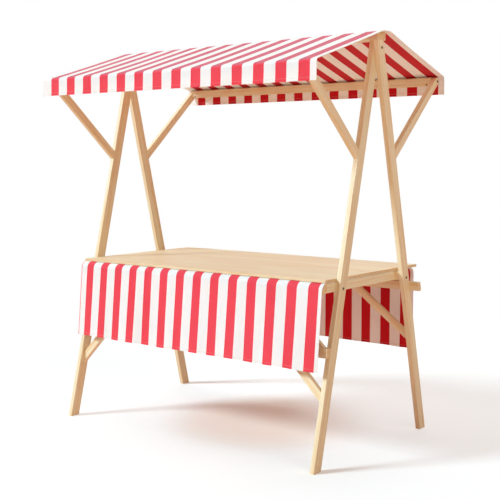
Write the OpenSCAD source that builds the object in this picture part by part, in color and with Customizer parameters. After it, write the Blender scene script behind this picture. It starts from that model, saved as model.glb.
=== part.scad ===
// Folding market stall: two A-frames of lapped legs carry a ridge beam, two eave
// beams on raking braces, a striped roof cloth, a table board and a draped table cloth.
// Millimetres, +Z up, +X along the length, the customer's side towards -Y.
// The origin lies on the floor, at the middle of the stall.

/* [A-frames] */
// Length over the outer faces of the front legs
frame_len = 1664; // [1400:4:2000]
// Depth between the centre lines of the feet
foot_spread = 966; // [900:2:1060]
// Height of the level cut at the top of the legs
leg_top_h = 2000; // [1900:5:2200]
// Drop from that cut to where the centre lines of the two legs cross
apex_drop = 35; // [20:1:60]
// Thickness of a leg, along the length of the stall
leg_t = 26; // [22:1:34]
// Width of a leg, square to its own length
leg_w = 57; // [46:1:64]
// Broken edge along the legs, rails and braces
edge = 2; // [0.5:0.5:3]

/* [Roof frame] */
// Height of the ridge beam
ridge_beam_h = 38; // [30:1:56]
// Width of the ridge beam
ridge_beam_w = 76; // [60:1:84]
// Drop from the top of the ridge beam to the top of the eave beams
eave_drop = 176; // [140:2:240]
// Distance from the middle to the outer face of an eave beam
eave_out = 596; // [520:2:680]
// Height of an eave beam
eave_beam_h = 44; // [36:1:56]
// Width of an eave beam
eave_beam_w = 38; // [28:1:44]
// Broken upper edge along the beams
beam_edge = 5; // [2:0.5:8]
// Width of a roof brace, square to its own length
roof_brace_w = 40; // [32:1:48]
// Rise of a roof brace from the level, in degrees
roof_brace_angle = 42; // [38:1:46]
// Drop from the top of an eave beam to the head of a roof brace
roof_brace_drop = 2; // [1:0.5:6]
// Length of the level cut at the head of a roof brace
roof_brace_cut = 25; // [16:1:34]

/* [Roof cloth] */
// Length of the roof cloth past the outer face of a back leg
roof_past = 32; // [20:1:120]
// Height of the hanging edge below the top of the eave beams
valance_h = 90; // [60:2:140]
// Thickness of the roof cloth
roof_cloth_t = 3; // [1.5:0.5:5]

/* [Table] */
// Height of the table top
table_h = 880; // [760:1:1000]
// Depth of the table board, front to back
table_depth = 874; // [780:2:940]
// Thickness of the table board
table_t = 14; // [10:1:24]
// Gap between the table board and a front leg
board_gap = 1; // [0.5:0.5:6]
// How far the table board stays back from the face of the apron
board_setback = 21; // [8:1:32]
// Height of the end rails and of the apron
rail_h = 45; // [36:1:54]
// Thickness of the end rails
rail_t = 22; // [16:1:26]
// Thickness of the apron
apron_t = 38; // [36:1:44]
// Length of the end rails past the outer edge of the back legs
end_rail_past = 45; // [0:1:80]

/* [Front truss] */
// Drop from the underside of the apron to the top of the front stretcher
stretcher_drop = 252; // [200:1:300]
// Height of the front stretcher
stretcher_h = 46; // [38:1:54]
// Thickness of the front stretcher
stretcher_t = 38; // [34:1:44]
// Width of the short braces, square to their own length
brace_w = 40; // [30:1:48]
// Thickness of the upper front braces
upper_brace_t = 20; // [14:1:22]
// Rise of the upper front braces and of the back braces, in degrees
upper_brace_angle = 42; // [38:1:48]
// Distance from the end of the stretcher to the foot of an upper front brace
upper_brace_inset = 20; // [10:1:60]
// Thickness of the lower front braces
lower_brace_t = 26; // [18:1:28]
// Rise of the lower front braces, in degrees
lower_brace_angle = 45; // [40:1:50]
// Drop from the underside of the stretcher to where a lower front brace meets its leg
lower_brace_drop = 198; // [150:2:240]
// How far the lower front braces stay back from the face of the stretcher
lower_brace_setback = 1; // [0:0.5:4]

/* [Back truss] */
// Drop from the underside of the end rails to the underside of the back rail
back_rail_drop = 58; // [52:1:90]
// Height of the back rail
back_rail_h = 46; // [36:1:48]
// Thickness of the back rail and the back braces
back_rail_t = 18; // [14:1:24]
// Length of the back rail past the outer face of a back leg
back_rail_past = 52; // [20:1:80]
// Drop from the underside of the back rail to the level foot of a back brace
back_brace_drop = 305; // [240:5:340]
// How far the foot of a back brace stays back from the outer face of its leg
back_brace_setback = 14; // [0:1:16]

/* [Table cloth] */
// How far the cloth stays back from the ends of the table board
cloth_setback = 0; // [0:1:20]
// Thickness of the table cloth
cloth_t = 2; // [1:0.5:3]
// Drop from the table board to the front hem
front_drop = 408; // [340:2:460]
// Drop from the table board to the back hem
back_drop = 434; // [340:2:460]
// How far the front hem stands out from the face of the front stretcher
hem_flare = 39; // [8:1:48]
// How far the hanging back sheet stays back from the edge of the table board
back_sheet_setback = 30; // [4:1:40]
// Radius of the cloth where it turns down
cloth_turn = 34; // [12:1:36]

/* [Hidden] */
// Gap between cloth and timber
seat = 0.3;
// Number of straight pieces in a quarter turn of cloth
turn_steps = 10;
// Length of the bars before they are cut
reach = 2 * leg_top_h;

apex_h = leg_top_h - apex_drop;
lean = atan(foot_spread / 2 / apex_h);
leg_half = leg_w / 2 / cos(lean);
front_leg_out = frame_len / 2;
front_leg_in = front_leg_out - leg_t;
back_leg_out = front_leg_out + leg_t;

roof_half = back_leg_out + roof_past;
ridge_top_h = leg_top_h + ridge_beam_h;
eave_top_h = ridge_top_h - eave_drop;

board_low_h = table_h - table_t;
board_half = front_leg_in - board_gap;
rail_top_h = board_low_h - cloth_t - 2 * seat;
rail_low_h = rail_top_h - rail_h;
end_rail_in = front_leg_in - rail_t;

// Distance from the middle to the outer edge of a leg at height z
function leg_edge(z) = foot_spread / 2 + leg_half - z * tan(lean);
// The same, on the inner edge
function leg_inner(z) = leg_edge(z) - 2 * leg_half;
// Points of a circular arc about a centre
function arc(c, r, from, to) =
    [for (i = [0:turn_steps]) c + r * [cos(from + (to - from) * i / turn_steps),
                                       sin(from + (to - from) * i / turn_steps)]];
function mirrored(points) =
    [for (i = [len(points) - 1:-1:0]) [-points[i][0], points[i][1]]];

stretcher_top_h = rail_low_h - stretcher_drop;
stretcher_low_h = stretcher_top_h - stretcher_h;
stretcher_back = leg_edge(stretcher_top_h);
stretcher_front = stretcher_back + stretcher_t;
apron_front = stretcher_front;
apron_back = apron_front - apron_t;
upper_brace_out = (stretcher_back + stretcher_front) / 2;

back_rail_low_h = rail_low_h - back_rail_drop;
back_brace_foot_h = back_rail_low_h - back_brace_drop;

board_front = apron_front - board_setback;
board_back = table_depth - board_front;
cloth_half = board_half - cloth_setback;
front_hem_h = board_low_h - front_drop;
back_hem_h = board_low_h - back_drop;
front_hem_out = stretcher_front + hem_flare;
back_sheet_out = board_back - back_sheet_setback;

wood = "#eedcb8";
shade_wood = "#e2c89c";
red_cloth = "#f0525f";

// Extrudes a (y, z) outline from x0 over a thickness along +X
module along_x(x0, t) {
    translate([x0, 0, 0]) rotate([90, 0, 90]) linear_extrude(t) children();
}

// Extrudes an (x, z) outline from y0 over a thickness along +Y
module along_y(y0, t) {
    translate([0, y0 + t, 0]) rotate([90, 0, 0]) linear_extrude(t) children();
}

module left() {
    mirror([1, 0, 0]) children();
}

module front() {
    mirror([0, 1, 0]) children();
}

// Section of a timber, w by h from its corner, with broken edges
module section(w, h) {
    polygon([[edge, 0], [w - edge, 0], [w, edge], [w, h - edge],
             [w - edge, h], [edge, h], [0, h - edge], [0, edge]]);
}

// Uncut bar along z, its section w by h about the middle
module bar(w, h) {
    translate([0, 0, -reach]) linear_extrude(2 * reach) translate([-w / 2, -h / 2]) section(w, h);
}

// Space between two heights on the right-hand side, up to a distance from the middle
module right_of_middle(out, z0, z1) {
    translate([0, -reach, z0]) cube([out, 2 * reach, z1 - z0]);
}

// Frame on the outer face of the back legs: y out of the face, z up along the leg
module on_back_face() {
    translate([0, leg_edge(0), 0]) rotate([lean, 0, 0]) children();
}

// Outline of a back leg between two heights, with level cuts
module leg_outline(z0, z1) {
    polygon([[leg_inner(z0), z0], [leg_edge(z0), z0], [leg_edge(z1), z1], [leg_inner(z1), z1]]);
}

// Leaning bar with a level cut at the floor and at the ridge beam
module leg(x0) {
    color(wood) intersection() {
        translate([x0 + leg_t / 2, foot_spread / 2, 0]) rotate([lean, 0, 0]) bar(leg_t, leg_w);
        right_of_middle(reach, 0, leg_top_h);
    }
}

module front_leg_right() {
    front() leg(front_leg_in);
}

module front_leg_left() {
    left() front_leg_right();
}

module back_leg_right() {
    leg(front_leg_out);
}

module back_leg_left() {
    left() back_leg_right();
}

// Outline of a beam of width w and height h, its upper edges broken more than the lower
module beam_outline(w, h) {
    polygon([[-w / 2 + edge, 0], [w / 2 - edge, 0], [w / 2, edge], [w / 2, h - beam_edge],
             [w / 2 - beam_edge, h], [-w / 2 + beam_edge, h], [-w / 2, h - beam_edge], [-w / 2, edge]]);
}

// Beam on top of the legs, its ends flush with the back legs
module ridge_beam() {
    color(shade_wood) along_x(-back_leg_out, 2 * back_leg_out)
        translate([0, leg_top_h]) beam_outline(ridge_beam_w, ridge_beam_h);
}

// Beam between the roof braces at its two ends
module eave_beam(half) {
    color(shade_wood) along_x(-half, 2 * half)
        translate([eave_out - eave_beam_w / 2, eave_top_h - eave_beam_h])
            beam_outline(eave_beam_w, eave_beam_h);
}

module front_eave_beam() {
    front() eave_beam(front_leg_in);
}

module back_eave_beam() {
    eave_beam(front_leg_out);
}

// Brace from the outer edge of a leg, its head cut level and plumb over the end of the eave beam
module roof_brace(x0) {
    head_h = eave_top_h - roof_brace_drop;
    mid_h = head_h - roof_brace_w / 2 / cos(roof_brace_angle);
    color(wood) intersection() {
        translate([x0 + leg_t / 2, eave_out - roof_brace_cut, mid_h])
            rotate([roof_brace_angle - 90, 0, 0]) bar(leg_t, roof_brace_w);
        along_x(x0 - leg_t, 3 * leg_t)
            polygon([[leg_edge(table_h), table_h], [eave_out, table_h], [eave_out, head_h - beam_edge],
                     [eave_out - beam_edge, head_h], [leg_edge(head_h), head_h]]);
    }
}

module front_roof_brace_right() {
    front() roof_brace(front_leg_in);
}

module front_roof_brace_left() {
    left() front_roof_brace_right();
}

module back_roof_brace_right() {
    roof_brace(front_leg_out);
}

module back_roof_brace_left() {
    left() back_roof_brace_right();
}

// Rail bolted to the inner side of the legs, from the apron past the back leg
module end_rail_right() {
    color(wood) along_y(-apron_back, apron_back + leg_edge(rail_top_h) + end_rail_past)
        translate([end_rail_in, rail_low_h]) section(rail_t, rail_h);
}

module end_rail_left() {
    left() end_rail_right();
}

// Packing block that fills the lap between an end rail and the back leg
module rail_packer_right() {
    color(shade_wood) along_x(front_leg_in, leg_t) leg_outline(rail_low_h, rail_top_h);
}

module rail_packer_left() {
    left() rail_packer_right();
}

// Apron across the ends of the end rails, flush with the stretcher, its upper edge rounded for the cloth
module front_apron() {
    r = cloth_turn - seat;
    color(wood) along_x(-front_leg_in, 2 * front_leg_in)
        polygon(concat([[-apron_front, rail_low_h + edge], [-apron_front + edge, rail_low_h],
                        [-apron_back, rail_low_h], [-apron_back, rail_top_h]],
                       arc([-apron_front + r, rail_top_h - r], r, 90, 180)));
}

// Stretcher let over the front legs, its ends flush with their outer faces
module front_stretcher() {
    color(wood) difference() {
        along_x(-front_leg_out, 2 * front_leg_out)
            translate([-stretcher_front, stretcher_low_h]) section(stretcher_t, stretcher_h);
        for (side = [0, 1]) mirror([side, 0, 0]) front()
            along_x(front_leg_in - seat, leg_t + 1) leg_outline(0, leg_top_h);
    }
}

// Brace from the top of the stretcher up to the underside of the apron
module upper_front_brace_right() {
    half = brace_w / 2 / sin(upper_brace_angle);
    color(wood) intersection() {
        translate([front_leg_out - upper_brace_inset - half, -upper_brace_out, stretcher_top_h])
            rotate([0, upper_brace_angle - 90, 0]) bar(brace_w, upper_brace_t);
        right_of_middle(reach, stretcher_top_h, rail_low_h);
    }
}

module upper_front_brace_left() {
    left() upper_front_brace_right();
}

// Brace in the plane of the stretcher, from the inner side of a leg to the stretcher
module lower_front_brace_right() {
    out = stretcher_front - lower_brace_setback - lower_brace_t / 2;
    color(wood) intersection() {
        translate([front_leg_in, -out, stretcher_low_h - lower_brace_drop])
            rotate([0, lower_brace_angle - 90, 0]) bar(brace_w, lower_brace_t);
        right_of_middle(front_leg_in, 0, stretcher_low_h);
    }
}

module lower_front_brace_left() {
    left() lower_front_brace_right();
}

// Rail on the sloping outer faces of the back legs
module back_rail() {
    half = back_leg_out + back_rail_past;
    color(wood) on_back_face() along_x(-half, 2 * half)
        translate([0, back_rail_low_h / cos(lean)]) section(back_rail_t, back_rail_h);
}

// Brace on the same faces, from the back leg up to the underside of the back rail
module back_brace_right() {
    foot = back_brace_foot_h / cos(lean);
    color(wood) on_back_face() intersection() {
        translate([back_leg_out - leg_t / 2, back_rail_t / 2, foot + brace_w / 2])
            rotate([0, upper_brace_angle - 90, 0]) bar(brace_w, back_rail_t);
        right_of_middle(back_leg_out - back_brace_setback, foot, back_rail_low_h / cos(lean));
    }
}

module back_brace_left() {
    left() back_brace_right();
}

module table_board() {
    color(wood) along_x(-board_half, 2 * board_half)
        translate([-board_front, board_low_h]) section(table_depth, table_t);
}

// Section of the cloth from the front hem to the back hem, offset out by d
function cloth_path(d) = let (
    top = rail_top_h + seat + d,
    r = cloth_turn + d,
    front_c = [-apron_front - seat + cloth_turn, top - r],
    back_c = [back_sheet_out - cloth_turn, top - r],
    slope = atan((front_hem_out - apron_front - seat) / (front_c[1] - front_hem_h)))
    concat([[-front_hem_out - d / cos(slope), front_hem_h]],
           arc(front_c, r, 180 - slope, 90), arc(back_c, r, 90, 0),
           [[back_sheet_out + d, back_hem_h]]);

// One sheet that lies under the board and hangs down at the front and the back
module table_cloth() {
    inner = cloth_path(0);
    outer = cloth_path(cloth_t);
    last = len(inner) - 1;
    color(red_cloth) along_x(-cloth_half, 2 * cloth_half)
        polygon(concat(outer, [for (i = [last:-1:0]) inner[i]]));
}

// Half of the roof cloth's section, from the hem to the ridge, offset out by d
function roof_path(d) = let (
    ridge = [-ridge_beam_w / 2 + beam_edge, ridge_top_h + seat],
    eave = [-eave_out - seat, eave_top_h + seat],
    pitch = atan((ridge[1] - eave[1]) / (ridge[0] - eave[0])))
    [[eave[0] - d, eave_top_h - valance_h],
     [eave[0] - d, eave[1] + d / cos(pitch) - d * tan(pitch)],
     [ridge[0] + d * (1 - 1 / cos(pitch)) / tan(pitch), ridge[1] + d]];

// One sheet over the ridge, with a hanging edge along each eave
module roof_cloth() {
    outer = concat(roof_path(roof_cloth_t), mirrored(roof_path(roof_cloth_t)));
    inner = concat(roof_path(0), mirrored(roof_path(0)));
    last = len(inner) - 1;
    color(red_cloth) along_x(-roof_half, 2 * roof_half)
        polygon(concat(outer, [for (i = [last:-1:0]) inner[i]]));
}

front_leg_right();
front_leg_left();
back_leg_right();
back_leg_left();
ridge_beam();
front_eave_beam();
back_eave_beam();
front_roof_brace_right();
front_roof_brace_left();
back_roof_brace_right();
back_roof_brace_left();
end_rail_right();
end_rail_left();
rail_packer_right();
rail_packer_left();
front_apron();
front_stretcher();
upper_front_brace_right();
upper_front_brace_left();
lower_front_brace_right();
lower_front_brace_left();
back_rail();
back_brace_right();
back_brace_left();
table_board();
table_cloth();
roof_cloth();
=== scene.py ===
import math

import bpy
import numpy as np
from mathutils import Euler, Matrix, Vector


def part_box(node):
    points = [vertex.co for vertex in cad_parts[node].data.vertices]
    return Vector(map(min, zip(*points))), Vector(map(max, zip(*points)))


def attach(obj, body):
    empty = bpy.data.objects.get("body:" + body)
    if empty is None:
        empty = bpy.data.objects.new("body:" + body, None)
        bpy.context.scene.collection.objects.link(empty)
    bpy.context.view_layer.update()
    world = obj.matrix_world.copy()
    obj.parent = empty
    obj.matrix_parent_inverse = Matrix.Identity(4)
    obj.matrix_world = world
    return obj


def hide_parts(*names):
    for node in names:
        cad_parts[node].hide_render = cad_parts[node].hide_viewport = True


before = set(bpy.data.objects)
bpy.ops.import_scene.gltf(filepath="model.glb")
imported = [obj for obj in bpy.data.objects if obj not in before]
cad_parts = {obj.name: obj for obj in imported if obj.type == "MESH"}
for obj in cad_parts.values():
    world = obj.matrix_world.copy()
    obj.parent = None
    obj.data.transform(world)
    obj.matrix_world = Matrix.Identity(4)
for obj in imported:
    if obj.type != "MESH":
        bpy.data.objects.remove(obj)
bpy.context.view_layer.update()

# Real sizes of the stall, in metres and radians, the same as in its solids
FOOT_OUT, APEX_H = 0.483, 1.965
LEAN = math.atan(FOOT_OUT / APEX_H)
BRACE_RAKE = math.radians(42)
FRONT_LEG_IN, FRONT_LEG_OUT, BACK_LEG_OUT = 0.806, 0.832, 0.858
RIDGE_TOP, RIDGE_HALF, BEAM_EDGE = 2.038, 0.038, 0.005
EAVE_TOP, EAVE_OUT, EAVE_IN = 1.862, 0.596, 0.558
ROOF_HALF, VALANCE = 0.890, 0.090
CLOTH_HALF, CLOTH_TOP = 0.805, 0.8647
APRON_FRONT, CLOTH_TURN = 0.4111, 0.035
FRONT_HEM, FRONT_HEM_OUT = 0.458, 0.4501
BACK_HEM, BACK_SHEET_OUT = 0.432, 0.4549
RAIL_IN = 0.784

# Sizes that only the scene has: the hems, and the places of the bolts and screws
ROOF_HEM, TABLE_HEM = 0.018, 0.016
APEX_BOLT_OUT, RAIL_BOLT_OUT, RAIL_BOLT_H = 0.004, 0.278, 0.832
EAVE_BOLT_OUT, EAVE_BOLT_H, SCREW_FROM_END, SCREW_H = 0.583, 1.840, 0.050, 1.8235

# The camera, at the photograph's own viewpoint: its place, the degrees that it looks down and is turned, and its lens
CAMERA_AT, LOOKS_DOWN, TURNED, LENS_MM, SENSOR_MM = (3.2291, -4.0633, 1.4376), 5.4308, 37.9217, 69.314, 36
camera = bpy.data.objects.new("camera", bpy.data.cameras.new("camera"))
camera.location = CAMERA_AT
camera.rotation_euler = Euler((math.radians(90 - LOOKS_DOWN), 0, math.radians(TURNED)))
camera.data.sensor_width = SENSOR_MM
camera.data.lens = LENS_MM
bpy.context.scene.collection.objects.link(camera)
bpy.context.scene.camera = camera
bpy.context.scene.view_settings.view_transform = "Standard"


def tint(red, green, blue):
    """An sRGB colour from 0 to 255 as the linear colour that a shader takes."""
    c = np.array([red, green, blue]) / 255
    c = np.where(c > 0.04045, ((c + 0.055) / 1.055) ** 2.4, c / 12.92)
    return (*c.tolist(), 1.0)


# Colours of the timber from 0 to 255 and how far a piece may be lighter or darker, then the colours of the board,
# which are a little darker, partly its own tone and partly painted shade, and the width of its staves
PALE, AMBER, TONE_SPREAD = (248, 239, 205), (231, 187, 124), 4
BOARD_PALE_WITH_SHADE, BOARD_AMBER_WITH_SHADE, BOARD_STAVE = tint(240, 221, 182), tint(227, 187, 130), 0.108

# Colours of the cloth: as dyed, in deeper patches, with painted sheen on the slopes, and inner with painted light
RED, RED_DEEP = tint(249, 81, 95), tint(234, 62, 77)
RED_PAINTED_SHEEN, RED_INNER_PAINTED_LIGHT = tint(200, 102, 117), tint(200, 4, 28)
WHITE, WHITE_DEEP = tint(254, 253, 250), tint(245, 242, 236)
WHITE_PAINTED_SHEEN, WHITE_INNER_PAINTED_LIGHT = tint(246, 241, 229), tint(252, 244, 248)
HEM_SHADE, THREAD = tint(120, 70, 66), tint(236, 226, 210)


class Wire:
    """One output in a material's node tree. Operators on it add the Math nodes that they stand for."""

    def __init__(self, tree, socket=None):
        self.tree = tree
        self.socket = socket

    def node(self, kind, settings=(), sockets=(), out=0):
        """Adds any node: its settings first, then the value or the wire for each of its sockets."""
        made = self.tree.nodes.new(kind)
        for key, value in dict(settings).items():
            setattr(made, key, value)
        for key, value in dict(sockets).items():
            if isinstance(value, Wire):
                self.tree.links.new(value.socket, made.inputs[key])
            else:
                made.inputs[key].default_value = value
        return Wire(self.tree, made.outputs[out] if made.outputs else None)

    def math(self, operation, *values):
        return self.node("ShaderNodeMath", {"operation": operation}, dict(enumerate(values)))

    def __add__(self, other):
        return self.math("ADD", self, other)

    def __sub__(self, other):
        return self.math("SUBTRACT", self, other)

    def __rsub__(self, other):
        return self.math("SUBTRACT", other, self)

    def __mul__(self, other):
        return self.math("MULTIPLY", self, other)

    def __truediv__(self, other):
        return self.math("DIVIDE", self, other)

    def __pow__(self, other):
        return self.math("POWER", self, other)

    def __gt__(self, other):
        return self.math("GREATER_THAN", self, other)

    def __abs__(self):
        return self.math("ABSOLUTE", self)

    __radd__ = __add__

    def sine(self):
        return self.math("SINE", self)

    def part(self):
        return self.math("FRACT", self)

    def whole(self):
        return self.math("FLOOR", self)

    def most(self, other):
        return self.math("MAXIMUM", self, other)

    def step(self, low, high):
        """Eases from 0 at low to 1 at high, or from 1 to 0 where high is the smaller one."""
        ends = {"From Min": min(low, high), "From Max": max(low, high),
                "To Min": float(low > high), "To Max": float(low < high)}
        return self.node("ShaderNodeMapRange", {"interpolation_type": "SMOOTHSTEP"}, {"Value": self, **ends})

    def stretched(self, *factors):
        return self.node("ShaderNodeVectorMath", {"operation": "MULTIPLY"}, {0: self, 1: factors})

    def noise(self, scale=1.0, detail=2.0):
        return self.node("ShaderNodeTexNoise", (), {"Vector": self, "Scale": scale, "Detail": detail})

    def axes(self):
        """The three parts of a vector as wires."""
        split = self.node("ShaderNodeSeparateXYZ", (), {0: self})
        return [Wire(self.tree, s) for s in split.socket.node.outputs]

    def blend(self, first, second):
        """The first colour where this mask is 0 and the second where it is 1."""
        return self.node("ShaderNodeMix", {"data_type": "RGBA"}, {0: self, 6: first, 7: second}, 2)

    def bump(self, strength, depth):
        """A surface normal raised by this height, in units of depth metres."""
        return self.node("ShaderNodeBump", (), {"Height": self, "Strength": strength, "Distance": depth})


def finish(name, recipe):
    """A material whose Principled shader takes what recipe makes: a value or a wire for each socket by name."""
    material = bpy.data.materials.new(name)
    material.use_nodes = True
    tree = material.node_tree
    tree.nodes.clear()
    start = Wire(tree)
    shader = start.node("ShaderNodeBsdfPrincipled", (), recipe(start))
    start.node("ShaderNodeOutputMaterial", (), {"Surface": shader})
    return material


def planed_wood(name, grain, centre, seed, pale, amber, staves=0.0):
    """Pale planed timber. Growth rings are the fraction of the distance from a pith beside the piece,
    long streaks and fibres are noise drawn out along the grain, and the cut ends are a little darker. A board
    of staves has a seam at each one's edge and a tone of its own for each."""
    ring_pitch, ring_wander = 0.0042, 0.016
    rng = np.random.default_rng(seed)
    turn = Vector(grain).rotation_difference(Vector((0, 0, 1)))
    pith = Vector((rng.uniform(0.05, 0.09), rng.uniform(0.02, 0.06), rng.uniform(1, 9)))
    shift = pith - turn @ Vector(centre)

    def recipe(start):
        place = start.node("ShaderNodeTexCoord", out=3)
        q = start.node("ShaderNodeMapping", {"vector_type": "POINT"},
                       {"Vector": place, "Location": shift, "Rotation": turn.to_euler()})
        wander = q.stretched(7, 7, 1.3).noise()
        x, y, _ = q.axes()
        radius = (x * x + y * y) ** 0.5 + (wander - 0.5) * ring_wander
        ring = (radius / ring_pitch).part()
        late = ring.step(0.35, 0.9) * ring.step(1.0, 0.92)
        band = q.stretched(55, 55, 1.6).noise()
        streak = q.stretched(190, 190, 5).noise(detail=3)
        fibre = q.stretched(700, 700, 16).noise()
        fleck = q.stretched(1000, 1000, 150).noise().step(0.66, 0.74)
        facing = start.node("ShaderNodeNewGeometry", out=1)
        along = start.node("ShaderNodeVectorMath", {"operation": "DOT_PRODUCT"}, {0: facing, 1: grain}, 1)
        cut_end = abs(along).step(0.6, 0.75)
        tone = late * 0.3 + band.step(0.3, 0.75) * 0.42 + streak.step(0.4, 0.75) * 0.34 + fleck * 0.2
        tone = tone + cut_end * 0.35
        height = fibre * 0.5 + streak * 0.5 + late * 0.3
        if staves:
            across = place.axes()[1] / staves
            seam = abs(across.part() - 0.5).step(0.497, 0.499)
            each = start.node("ShaderNodeTexWhiteNoise", {"noise_dimensions": "1D"}, {"W": across.whole()})
            tone = tone + each * 0.3 - 0.1 + seam * 0.7
            height = height - seam * 2.0
        worn = place.noise(scale=3.0, detail=3).step(0.45, 0.8)
        return {"Base Color": (tone + worn * 0.1).blend(pale, amber),
                "Roughness": 0.42 + streak * 0.16 + worn * 0.06,
                "Specular IOR Level": 0.65,
                "Normal": height.bump(0.35, 0.0006)}

    return finish(name, recipe)


def striped_canvas(name, first, period, width, length, hems, half, edge=0.0, widening=0.0, sheen_at=0.0):
    """Woven canvas in red and white. The red mask repeats over the period from the first red edge, and the period
    grows to the right by its share per metre. The weave is two sets of ridges that take turns on a chequer, a row
    of stitches runs beside each hem, the cloth farther from the hems than the sheen distance is paler and duller
    with painted sheen, and on the inner side the dye is deeper and the white pinker, partly a duller back to the
    print and partly painted light that shines through the red cloth. A red edge of its own width may run down the
    left side."""
    thread_pitch, stitch_pitch, stitch_half, fray_depth = 0.0022, 0.0064, 0.0011, 0.0012
    soft, hem_soft, sheen_soft = 0.0006, 0.001, 0.005
    seam_in = hems * 0.8

    def recipe(start):
        flat = start.node("ShaderNodeUVMap", {"uv_map": "flat"})
        u, v, _ = flat.axes()
        fray = flat.stretched(900, 250, 1).noise() - 0.5
        along = u + fray * fray_depth
        turn = ((along - first) * (1 - (along + first) * (widening / 2)) / period).part() * period
        red = turn.step(-soft, soft) * turn.step(width + soft, width - soft)
        red = red * (u > first - 0.002)
        if edge:
            red = red.most(u.step(edge - half + hem_soft, edge - half))
        chequer = ((u / thread_pitch).whole() + (v / thread_pitch).whole()) * 0.5
        over = chequer.part() * 2
        warp = abs((u * (math.pi / thread_pitch)).sine())
        weft = abs((v * (math.pi / thread_pitch)).sine())
        weave = over * warp + (1 - over) * weft
        slub = flat.stretched(40, 700, 1).noise() + flat.stretched(700, 40, 1).noise()
        fade = flat.noise(scale=2.2, detail=3).step(0.35, 0.75)
        near_hem = v.step(hems, hems - hem_soft).most(v.step(length - hems, length - hems + hem_soft))
        off_seam = abs(v - seam_in)
        far_seam = abs(v - (length - seam_in))
        row = off_seam.step(stitch_half, soft).most(far_seam.step(stitch_half, soft))
        stitch = row * (u / stitch_pitch).part().step(0.30, 0.36)
        crease = flat.stretched(5, 9, 1).noise(detail=3)
        red_dye = (slub * 0.3 + fade * 0.4).blend(RED, RED_DEEP)
        ecru = (slub * 0.25 + fade * 0.35).blend(WHITE, WHITE_DEEP)
        inner = start.node("ShaderNodeAttribute", {"attribute_name": "inner"}, out=2)
        # Painted sheen: the slopes, away from the valances, are made paler and duller as a glancing view shows them
        if sheen_at:
            far_sheen = length - sheen_at
            sheened = v.step(sheen_at - sheen_soft, sheen_at + sheen_soft) * v.step(far_sheen + sheen_soft, far_sheen - sheen_soft)
            red_dye = (sheened * 0.8).blend(red_dye, RED_PAINTED_SHEEN)
            ecru = (sheened * 0.7).blend(ecru, WHITE_PAINTED_SHEEN)
        # Inner side: deeper red and pinker white, partly the print's duller back and partly painted light through the
        # cloth
        red_dye = (inner * 0.92).blend(red_dye, RED_INNER_PAINTED_LIGHT)
        ecru = (inner * 0.6).blend(ecru, WHITE_INNER_PAINTED_LIGHT)
        cloth = red.blend(ecru, red_dye)
        cloth = (near_hem * 0.035).blend(cloth, HEM_SHADE)
        cloth = (stitch * 0.3).blend(cloth, THREAD)
        height = weave * 0.5 + slub * 0.25 + stitch * 1.4 + crease * 2.4
        return {"Base Color": cloth, "Roughness": 0.78 + weave * 0.1, "Specular IOR Level": 0.2,
                "Subsurface Weight": 0.45, "Subsurface Radius": (1.0, 0.8, 0.7), "Subsurface Scale": 0.002,
                "Sheen Weight": 0.06, "Sheen Roughness": 0.5, "Normal": height.bump(0.4, 0.0008)}

    return finish(name, recipe)


def dark_steel(start):
    """Oiled dark steel: cloudy roughness, with a brown bloom in the hollows of slow noise."""
    place = start.node("ShaderNodeTexCoord", out=3)
    cloud = place.noise(scale=240, detail=3)
    return {"Base Color": cloud.step(0.4, 0.7).blend(tint(112, 98, 82), tint(88, 70, 54)), "Metallic": 0.9,
            "Roughness": 0.32 + cloud * 0.25, "Normal": cloud.bump(0.2, 0.0003)}


def add_piece(name, points, faces, material, flat=None, inner=None, crease=40):
    """Puts an array of points and arrays of faces into a mesh that rides on the stall."""
    mesh = bpy.data.meshes.new(name)
    mesh.from_pydata(points.tolist(), [], [f for group in faces for f in group.tolist()])
    if flat is not None:
        corner = np.empty(len(mesh.loops), np.int64)
        mesh.loops.foreach_get("vertex_index", corner)
        mesh.uv_layers.new(name="flat").data.foreach_set("uv", flat[corner].ravel())
        mesh.attributes.new("inner", "FLOAT", "POINT").data.foreach_set("value", inner)
    mesh.polygons.foreach_set("use_smooth", np.ones(len(mesh.polygons), bool))
    mesh.set_sharp_from_angle(angle=math.radians(crease))
    mesh.materials.append(material)
    piece = bpy.data.objects.new(name, mesh)
    bpy.context.scene.collection.objects.link(piece)
    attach(piece, "root")
    return piece


def rounded_path(corners, radii, pitch):
    """Straight runs between the corners, with a circular arc of its own radius at each inner corner,
    sampled about every pitch along the runs and five times as finely round the arcs."""
    c = np.array(corners, float)
    out = [c[:1]]
    for before, here, after, r in zip(c[:-2], c[1:-1], c[2:], radii):
        a, b = before - here, after - here
        a, b = a / np.linalg.norm(a), b / np.linalg.norm(b)
        half = math.acos(np.clip(a @ b, -1, 1)) / 2
        middle = here + (a + b) / np.linalg.norm(a + b) * r / math.sin(half)
        p, q = here + a * r / math.tan(half), here + b * r / math.tan(half)
        p, q = p - middle, q - middle
        sweep = math.pi - 2 * half
        t = np.linspace(0, 1, max(4, int(r * sweep / pitch * 5)))[:, None]
        out.append(middle + (np.sin((1 - t) * sweep) * p + np.sin(t * sweep) * q) / math.sin(sweep))
    out.append(c[-1:])
    key = np.concatenate(out)
    s = np.r_[0, np.cumsum(np.linalg.norm(np.diff(key, axis=0), axis=1))]
    runs = [np.linspace(p, q, max(1, int((q - p) / pitch)), endpoint=False) for p, q in zip(s[:-1], s[1:])]
    fine = np.r_[np.concatenate(runs), s[-1]]
    return np.stack([np.interp(fine, s, key[:, k]) for k in (0, 1)], 1), fine


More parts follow.
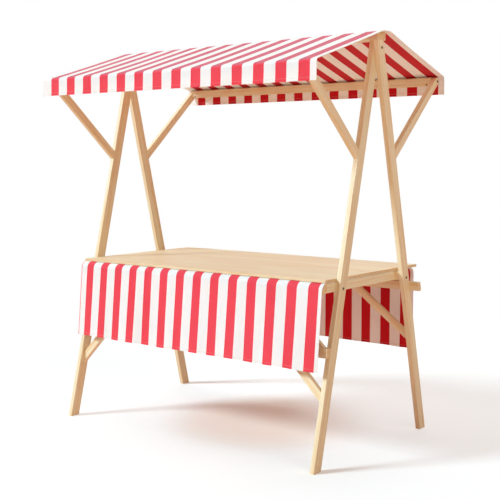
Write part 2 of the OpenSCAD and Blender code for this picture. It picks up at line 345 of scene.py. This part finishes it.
def cloth_shell(name, middle, thick, flat, material):
    """A closed sheet: the middle surface moved half its thickness to both sides along its normal, which is the
    cross product of its two grid directions, and joined by a rim along all four edges."""
    m, n = middle.shape[:2]
    down, along = np.gradient(middle, axis=0), np.gradient(middle, axis=1)
    normal = np.cross(along, down)
    normal /= np.linalg.norm(normal, axis=2, keepdims=True)
    offset = normal * thick[..., None] / 2
    points = np.concatenate([(middle + offset).reshape(-1, 3), (middle - offset).reshape(-1, 3)])
    i = np.arange(m * n).reshape(m, n)
    face = np.stack([i[:-1, :-1], i[:-1, 1:], i[1:, 1:], i[1:, :-1]], -1).reshape(-1, 4)
    loop = np.concatenate([i[0, :-1], i[:-1, -1], i[-1, :0:-1], i[:0:-1, 0]])
    rim = np.stack([loop, loop + m * n, np.roll(loop, -1) + m * n, np.roll(loop, -1)], 1)
    faces = (face, face[:, ::-1] + m * n, rim)
    inner = np.repeat([0.0, 1.0], m * n)
    return add_piece(name, points, faces, material, np.tile(flat.reshape(-1, 2), (2, 1)), inner)


def hem_thickness(u, v, half, length, single, hem):
    """One layer of cloth, nearly doubled within a hem's width of the two ends of the path and of the two sides."""
    more, ease = 0.8, 0.002
    edge = np.minimum(np.minimum(v, length - v), half - np.abs(u))
    return single * (1 + more * np.clip((hem - edge) / ease, 0, 1))


def waves(u, spans, shifts):
    """The mean of sines along u, each with its own span and shift, from -1 to 1."""
    return np.mean([np.sin(2 * np.pi * u / a + b) for a, b in zip(spans, shifts)], 0)


def roof_sheet():
    """The roof cloth: its section runs from hem to hem over the eaves and the ridge and is carried along the
    length. Each slope sags by a shallow parabola, and the hanging edges swing outwards with the square of their
    depth times a slow wave."""
    lift, eave_turn, ridge_turn, pitch, columns = 0.0018, 0.017, 0.06, 0.011, 171
    sag, past_turn, single, swing_mean, swing_wave = 0.0015, 0.012, 0.0009, 0.0022, 0.0018
    eave, ridge = EAVE_OUT + lift, RIDGE_HALF - BEAM_EDGE
    half_path = [(-eave, EAVE_TOP - VALANCE), (-eave, EAVE_TOP + lift), (-ridge, RIDGE_TOP + lift)]
    corners = half_path + [(-y, z) for y, z in half_path[::-1]]
    path, s = rounded_path(corners, (eave_turn, ridge_turn, ridge_turn, eave_turn), pitch)
    x = np.linspace(-ROOF_HALF, ROOF_HALF, columns)
    u, v = np.meshgrid(x, s)
    y, z = np.repeat(path[:, :1], len(x), 1), np.repeat(path[:, 1:], len(x), 1)
    across = np.clip((eave - past_turn - np.abs(y)) / (eave - past_turn - ridge), 0, 1)
    z = z - 4 * across * (1 - across) * (sag + sag * waves(u + y * 0.3, (0.83, 0.47), (0.4, 2.0)))
    depth = np.clip((EAVE_TOP - z) / VALANCE, 0, 1)
    swell = waves(u + np.sign(y) * 0.1, (0.41, 0.23, 0.152), (0.3, 1.9, 4.1))
    y = y + np.sign(y) * (depth ** 2 * (swing_mean + swing_wave * swell))
    length = s[-1]
    thick = hem_thickness(u, v, ROOF_HALF, length, single, ROOF_HEM)
    canvas = striped_canvas("roof_canvas_striped", first=-0.8205, period=0.1243, width=0.0605, length=length,
                            hems=ROOF_HEM, half=ROOF_HALF, sheen_at=VALANCE)
    sheet = cloth_shell("roof_cloth_sewn", np.stack([u, y, z], -1), thick, np.stack([u, v], -1), canvas)
    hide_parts("roof_cloth")


def table_sheet():
    """The table cloth: its section rises from the front hem, turns over the apron, lies flat under the board and
    turns down to the back hem. Below the turns it moves along Y by slow waves that grow with the depth, and its
    lower edges rise and fall a little."""
    off_apron, off_hem, pitch, columns = 0.0013, 0.001, 0.0105, 161
    held, single = CLOTH_TOP - 0.05, 0.0007
    front_swell, back_swell, front_flutter, back_flutter, hem_rise = 0.006, 0.005, 0.0016, 0.0015, 0.0022
    corners = [(-FRONT_HEM_OUT - off_hem, FRONT_HEM), (-(APRON_FRONT + off_apron), CLOTH_TOP),
               (BACK_SHEET_OUT, CLOTH_TOP), (BACK_SHEET_OUT, BACK_HEM)]
    path, s = rounded_path(corners, (CLOTH_TURN, CLOTH_TURN), pitch)
    x = np.linspace(-CLOTH_HALF, CLOTH_HALF, columns)
    u, v = np.meshgrid(x, s)
    y, z = np.repeat(path[:, :1], len(x), 1), np.repeat(path[:, 1:], len(x), 1)
    depth = np.clip((held - z) / (held - FRONT_HEM), 0, 1)
    front = np.where(y < 0, 1.0, 0.0)
    front_fold = waves(u, (0.62, 0.353, 0.231), (0.8, 2.6, 0.2))
    back_fold = waves(u, (0.71, 0.389, 0.21), (2.0, 0.5, 1.1))
    flutter = waves(u, (0.128, 0.087), (1.0, 3.0)) * depth ** 3
    y = y - front * (depth ** 1.4 * front_swell * front_fold + front_flutter * flutter)
    y = y + (1 - front) * (depth ** 1.4 * back_swell * back_fold + back_flutter * flutter)
    z = z + depth * hem_rise * waves(u, (0.9, 0.31), (0.6, 2.2))
    length = s[-1]
    thick = hem_thickness(u, v, CLOTH_HALF, length, single, TABLE_HEM)
    canvas = striped_canvas("table_canvas_striped", first=-0.7612, period=0.1147, width=0.0545, length=length,
                            hems=TABLE_HEM, half=CLOTH_HALF, edge=0.004, widening=0.0775)
    sheet = cloth_shell("table_cloth_sewn", np.stack([u, y, z], -1), thick, np.stack([u, v], -1), canvas)
    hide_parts("table_cloth")


def turned(centre, axis, radius, height, sides=28):
    """A profile of radius and height turned round an axis; sides under ten make it a nut with flats."""
    a = np.array(axis, float)
    b = np.cross(a, (0.0, 0.6, 0.8) if abs(a[0]) > 0.5 else (1.0, 0.0, 0.0))
    b /= np.linalg.norm(b)
    angle = np.arange(sides) * 2 * np.pi / sides
    ring = np.cos(angle)[:, None] * b + np.sin(angle)[:, None] * np.cross(a, b)
    r, h = np.array(radius)[:, None, None], np.array(height)[:, None, None]
    points = np.array(centre, float) + h * a + r * ring[None]
    m = len(radius)
    i = np.arange(m * sides).reshape(m, sides)
    j = np.roll(i, -1, 1)
    wall = np.stack([i[:-1], j[:-1], j[1:], i[1:]], -1).reshape(-1, 4)
    low = points.reshape(-1, 3)
    caps = np.array([low[:sides].mean(0), low[-sides:].mean(0)])
    base = np.stack([j[0], i[0], np.full(sides, m * sides)], -1)
    head = np.stack([i[-1], j[-1], np.full(sides, m * sides + 1)], -1)
    return np.concatenate([low, caps]), wall, np.concatenate([base, head])


# The wood of each piece: the direction of its grain at the right end, which the left end mirrors
up_front, up_back = (0, math.sin(LEAN), math.cos(LEAN)), (0, -math.sin(LEAN), math.cos(LEAN))
run, rise, diagonal = math.cos(BRACE_RAKE), math.sin(BRACE_RAKE), math.sqrt(0.5)
GRAIN = {
    "front_leg": up_front, "back_leg": up_back, "ridge_beam": (1, 0, 0), "front_eave_beam": (1, 0, 0),
    "back_eave_beam": (1, 0, 0), "front_roof_brace": (0, -run, rise), "back_roof_brace": (0, run, rise),
    "end_rail": (0, 1, 0), "rail_packer": up_back, "front_apron": (1, 0, 0), "front_stretcher": (1, 0, 0),
    "upper_front_brace": (-run, 0, rise), "lower_front_brace": (-diagonal, 0, diagonal),
    "back_rail": (1, 0, 0), "back_brace": (-run, -rise * math.sin(LEAN), rise * math.cos(LEAN)),
    "table_board": (1, 0, 0),
}
FIRST_SEED = 100
for count, node in enumerate(sorted(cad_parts)):
    kind = node.removesuffix("_right").removesuffix("_left")
    if kind not in GRAIN:
        continue
    direction = np.array(GRAIN[kind], float)
    if node.endswith("_left"):
        direction[0] = -direction[0]
    low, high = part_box(node)
    light = np.random.default_rng(FIRST_SEED + count).uniform(-TONE_SPREAD, TONE_SPREAD)
    pale, amber = tint(*(c + light for c in PALE)), tint(*(c + light for c in AMBER))
    staves = 0.0
    # The board takes its own colours, a little darker with painted shade
    if node == "table_board":
        pale, amber, staves = BOARD_PALE_WITH_SHADE, BOARD_AMBER_WITH_SHADE, BOARD_STAVE
    wood = planed_wood("wood_" + node, direction.tolist(), (low + high) / 2, count, pale, amber, staves)
    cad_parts[node].material_slots[0].material = wood

roof_sheet()
table_sheet()

# Bolts: heads on the outer faces, washers and nuts on the inner ones, and screws at the eaves. Each is a turned
# profile, as its radii and then its heights.
HEAD = ((0.0062, 0.0062, 0.0058, 0.0050, 0.0035, 0.0014), (-0.001, 0.0012, 0.0024, 0.0034, 0.0042, 0.0046))
NUT = ((0.0062, 0.0070, 0.0070, 0.0060), (0.0, 0.0008, 0.0056, 0.0064))
WASHER = ((0.0098, 0.0098, 0.0092, 0.0062), (-0.001, 0.0012, 0.0016, 0.0016))
SCREW = ((0.0042, 0.0042, 0.0036, 0.0024, 0.0010), (-0.001, 0.0008, 0.0018, 0.0024, 0.0026))
WASHER_THICK = 0.0012
through_bolts = ((BACK_LEG_OUT, FRONT_LEG_IN, APEX_BOLT_OUT, APEX_H),
                 (FRONT_LEG_OUT, RAIL_IN, -RAIL_BOLT_OUT, RAIL_BOLT_H),
                 (BACK_LEG_OUT, RAIL_IN, RAIL_BOLT_OUT, RAIL_BOLT_H))
metal = []
for side in (1, -1):
    for outer, inner, y, z in through_bolts:
        metal.append(turned((side * outer, y, z), (side, 0, 0), *HEAD))
        metal.append(turned((side * inner, y, z), (-side, 0, 0), *WASHER))
        metal.append(turned((side * (inner - WASHER_THICK), y, z), (-side, 0, 0), *NUT, sides=6))
    for back, end in ((1, BACK_LEG_OUT), (-1, FRONT_LEG_OUT)):
        metal.append(turned((side * end, back * EAVE_BOLT_OUT, EAVE_BOLT_H), (side, 0, 0), *HEAD))
        screw_at = (side * (end - SCREW_FROM_END), back * EAVE_IN, SCREW_H)
        metal.append(turned(screw_at, (0, -back, 0), *SCREW, sides=18))
shift = np.cumsum([0] + [len(points) for points, _, _ in metal])
faces = [group + k for (_, wall, caps), k in zip(metal, shift) for group in (wall, caps)]
add_piece("bolts_and_screws", np.concatenate([points for points, _, _ in metal]), faces,
          finish("bolt_steel", dark_steel))


# The studio: a pale floor, a white surround and four soft lamps
def view_rays(start):
    """1 for a ray that the camera, a reflection or a pane sees, and 0 for light that reaches the stall."""
    path = start.node("ShaderNodeLightPath").socket.node.outputs
    seen = Wire(start.tree, path["Is Camera Ray"])
    for name in ("Is Glossy Ray", "Is Transmission Ray"):
        seen = seen.most(Wire(start.tree, path[name]))
    return seen


FILL, FILL_STRENGTH, PURE = (1.0, 0.53, 0.40, 1), 0.155, (1, 1, 1, 1)
world = bpy.data.worlds.new("studio")
world.use_nodes = True
world.node_tree.nodes.clear()
air = Wire(world.node_tree)
fill = air.node("ShaderNodeBackground", (), {"Color": FILL, "Strength": FILL_STRENGTH})
white = air.node("ShaderNodeBackground", (), {"Color": PURE, "Strength": 1.0})
surround = air.node("ShaderNodeMixShader", (), {0: view_rays(air), 1: fill, 2: white})
air.node("ShaderNodeOutputWorld", (), {"Surface": surround})
bpy.context.scene.world = world

# The floor. Its paint is warm where it lights the stall. For the rays that see it, a painted shadow makes it
# darker and pinker round the core of the shadow under the stall, and a painted light lifts it towards the white of
# the surround with the distance from the origin and to both sides of a line that runs under the stall.
FLOOR_HALF, FLOOR_LEVEL = 60, -0.0005
FLOOR_BOUNCE, FLOOR_SEEN, FLOOR_PAINTED_SHADOW = (0.92, 0.61, 0.45, 1), (1.14, 1.16, 1.12, 1), (1.03, 0.91, 0.785, 1)
floor_corners = [(FLOOR_HALF * i, FLOOR_HALF * j, FLOOR_LEVEL) for i, j in ((-1, -1), (1, -1), (1, 1), (-1, 1))]
floor_mesh = bpy.data.meshes.new("floor")
floor_mesh.from_pydata(floor_corners, [], [(0, 1, 2, 3)])
paint = bpy.data.materials.new("floor_paint")
paint.use_nodes = True
paint.node_tree.nodes.clear()
ground = Wire(paint.node_tree)
x, y, _ = ground.node("ShaderNodeTexCoord", out=3).axes()
far = (x * x + y * y) ** 0.5
across = x * 0.79 + y * 0.61
core_x, core_y = x - 0.12, y - 0.1
core = core_x * core_x + core_y * core_y
# Painted shadow: darker and pinker round a core under the stall
floor_tone = core.step(0.45, 0.04).blend(FLOOR_SEEN, FLOOR_PAINTED_SHADOW)
shade = view_rays(ground).blend(FLOOR_BOUNCE, floor_tone)
matt = ground.node("ShaderNodeBsdfDiffuse", (), {"Color": shade})
glow = ground.node("ShaderNodeEmission", (), {"Color": PURE, "Strength": 1.0})
# Painted light: how far the seen floor glows white, which pales the stall's shadow beside a line under it and far off
painted_light_beside = across.step(0.15, 0.8) * 0.5 + across.step(-0.2, -0.6) * 0.4 + 0.05
lift = painted_light_beside.most(far.step(0.7, 1.9) * 0.42 + far.step(1.9, 6.0) * 0.53 + 0.05)
lit = ground.node("ShaderNodeMixShader", (), {0: view_rays(ground) * lift, 1: matt, 2: glow})
ground.node("ShaderNodeOutputMaterial", (), {"Surface": lit})
floor_mesh.materials.append(paint)
floor = bpy.data.objects.new("floor", floor_mesh)
bpy.context.scene.collection.objects.link(floor)


def soft_lamp(name, strength, spread, azimuth, elevation, colour=(1, 1, 1)):
    """A distant soft lamp: azimuth 0 stands in front of the stall and turns towards its right end."""
    lamp = bpy.data.objects.new(name, bpy.data.lights.new(name, "SUN"))
    lamp.data.energy = strength
    lamp.data.color = colour
    lamp.data.angle = math.radians(spread)
    lamp.rotation_euler = Euler((math.radians(90 - elevation), 0, math.radians(azimuth)))
    bpy.context.scene.collection.objects.link(lamp)


soft_lamp("key", strength=2.52, spread=14, azimuth=-40, elevation=31, colour=(0.88, 1.14, 1.29))
soft_lamp("overhead", strength=0.70, spread=42, azimuth=-115, elevation=66)
soft_lamp("side", strength=0.72, spread=45, azimuth=66, elevation=36, colour=(1.0, 0.96, 0.88))
soft_lamp("back", strength=0.62, spread=60, azimuth=180, elevation=22, colour=(0.94, 1.0, 1.04))
